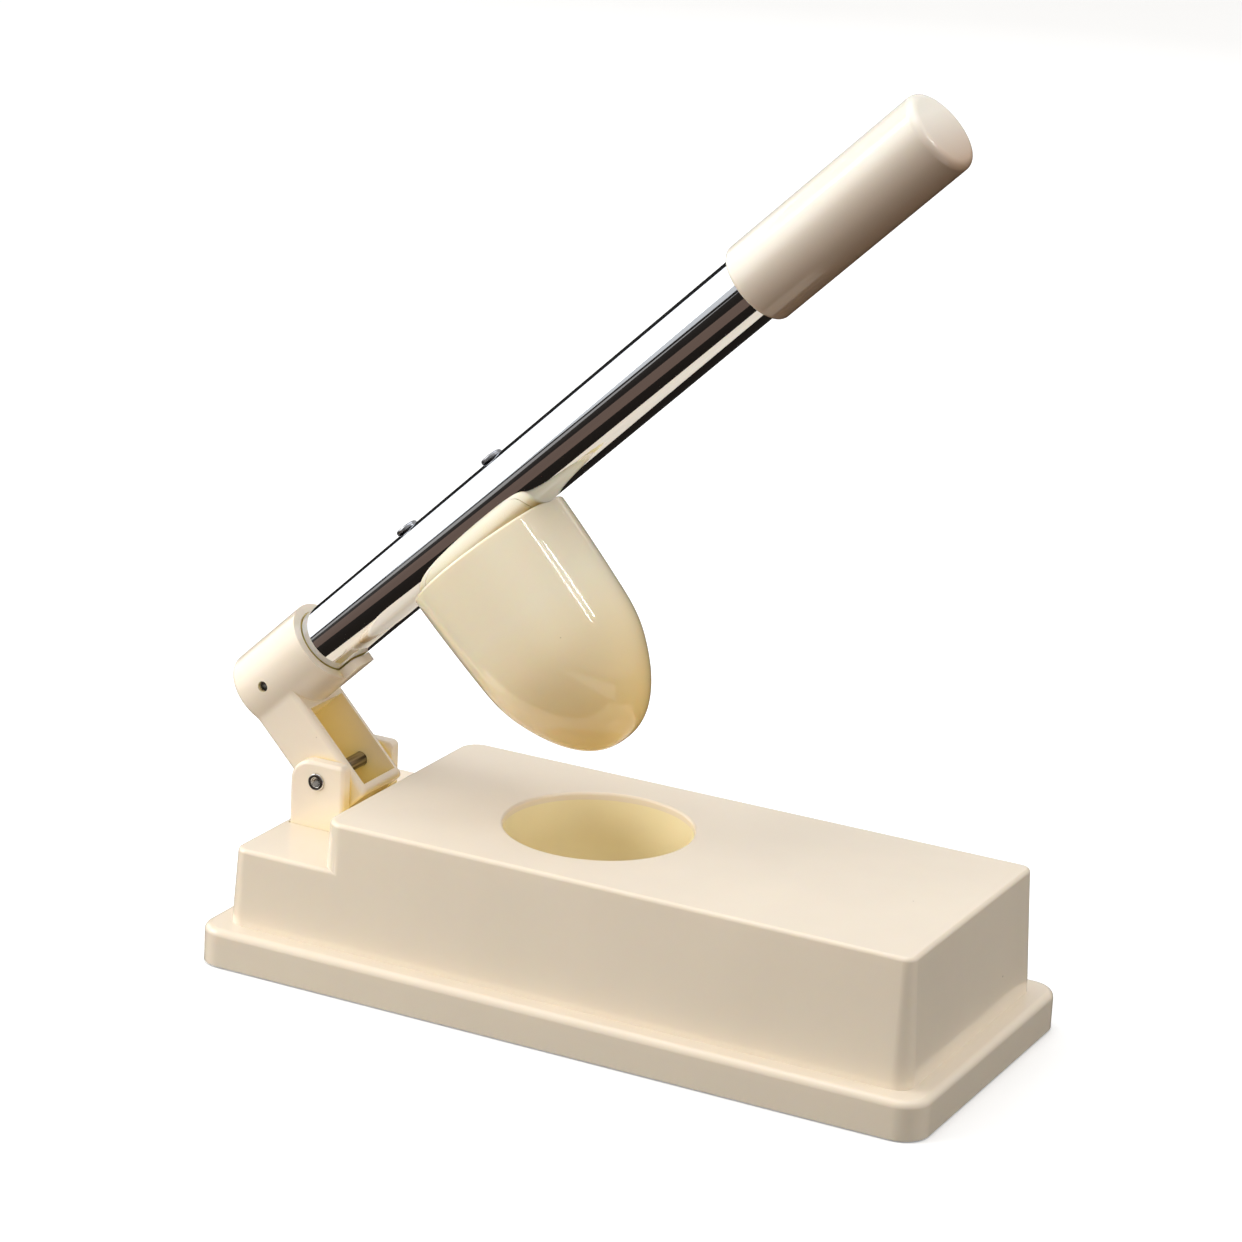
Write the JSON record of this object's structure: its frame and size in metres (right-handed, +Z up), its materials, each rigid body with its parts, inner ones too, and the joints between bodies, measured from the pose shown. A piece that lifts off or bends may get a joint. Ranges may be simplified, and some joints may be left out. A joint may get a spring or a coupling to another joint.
{
  "type": "hand lever press with a cup well",
  "caption": "Bench-top hand press: a hinged tube lever with a grip lowers a domed plunger into a round well in a moulded base.",
  "frame": {"origin": "on the table, under the middle of the whole machine with its lever raised; the round well is 2.7 mm behind it", "axes": "+X runs along the base from the hinge to the free end, +Y is to the left of someone looking along +X and is parallel to the hinge pin, +Z is up"},
  "size_m": [0.3365, 0.1394, 0.3694],
  "materials": {
    "ivory_housing": "glossy",
    "ivory_plate": "satin",
    "ivory_well": "glossy",
    "ivory_ears": "glossy",
    "ivory_arm": "glossy",
    "ivory_grip": "glossy",
    "ivory_plunger": "glossy",
    "chrome_tube": "polished",
    "chrome_screw": "polished",
    "steel_pin": "satin",
    "zinc_screw": "satin",
    "bush_brass": "satin",
    "black_rubber": "matte"
  },
  "bodies": {
    "base": {"base_shell": "ivory_housing", "bottom_plate": "ivory_plate", "bottom_plate_screws": "zinc_screw", "rubber_feet": "black_rubber", "well_cup": "ivory_well", "well_cup_screws": "zinc_screw", "hinge_bracket": "ivory_ears", "hinge_bracket_screws": "zinc_screw", "hinge_pin": "steel_pin", "pin_retaining_clip": "steel_pin"},
    "lever": {"hinge_arm": "ivory_arm", "hinge_bushes": "bush_brass", "handle_tube": "chrome_tube", "tube_lock_pin": "steel_pin", "handle_grip": "ivory_grip", "plunger_head": "ivory_plunger", "plunger_cap": "ivory_plunger", "plunger_inserts": "bush_brass", "plunger_screws": "chrome_screw", "screw_spacers": "zinc_screw"}
  },
  "joints": [
    {"name": "lever_hinge", "type": "hinge", "parent": "base", "child": "lever", "pos_m": [-0.1182, 0, 0.067], "axis": [0, 1, 0], "range_deg": [-66, 42]}
  ]
}
